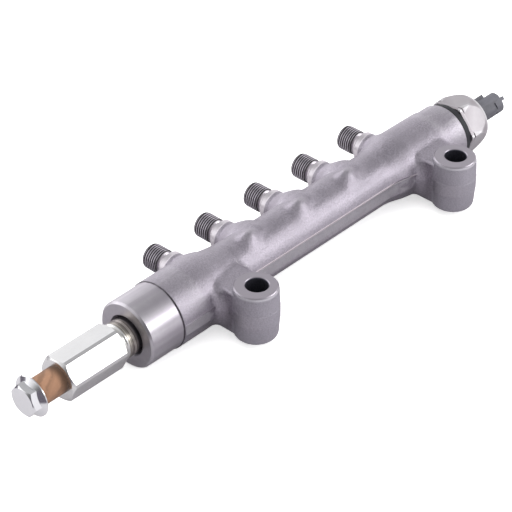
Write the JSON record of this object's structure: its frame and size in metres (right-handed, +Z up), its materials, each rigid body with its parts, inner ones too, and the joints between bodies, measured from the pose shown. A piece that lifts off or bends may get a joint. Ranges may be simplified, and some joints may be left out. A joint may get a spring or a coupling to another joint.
{
  "type": "common rail fuel rail",
  "caption": "Forged high pressure fuel rail with threaded injector nipples along one side, mounting lugs, an end relief valve with a hollow return bolt, and a pressure sensor.",
  "frame": {"origin": "midway between the two mounting holes, on the lugs' seat plane", "axes": "+X along the rail from the relief valve to the pressure sensor, +Y out along the injector nipples, +Z up out of the lugs' spot faces"},
  "size_m": [0.3241, 0.0747, 0.034],
  "materials": {
    "forged_steel": "blasted forging",
    "zinc_steel": "bright plated",
    "hard_steel": "ground",
    "spring_steel": "drawn wire",
    "bolt_steel": "bright plated",
    "sleeve_card": "kraft",
    "sensor_steel": "stainless, fine turned",
    "board": "glass-epoxy board",
    "spacer_plastic": "moulded",
    "plug_plastic": "glass-filled, dark grey",
    "terminal": "tinned"
  },
  "bodies": {
    "rail": {"rail_body": "forged_steel", "limiter_housing": "zinc_steel", "limiter_valve_seat": "hard_steel", "limiter_guide": "hard_steel", "limiter_spring": "spring_steel", "limiter_shim": "hard_steel", "limiter_stop": "hard_steel", "return_bolt": "bolt_steel", "return_bolt_sleeve": "sleeve_card", "sensor_housing": "sensor_steel", "sensor_pressure_port": "sensor_steel", "sensor_gauge_board": "board", "sensor_spacer": "spacer_plastic", "sensor_connector": "plug_plastic", "sensor_terminal_1": "terminal", "sensor_terminal_2": "terminal", "sensor_terminal_3": "terminal"},
    "valve": {"limiter_valve": "hard_steel"}
  },
  "joints": [
    {"name": "relief_lift", "type": "slide", "parent": "rail", "child": "valve", "axis": [-1, 0, 0], "range_m": [0, 0.0008], "stiffness_N_per_m": 8000, "springref_m": -0.004, "deforming": ["limiter_spring"]}
  ]
}
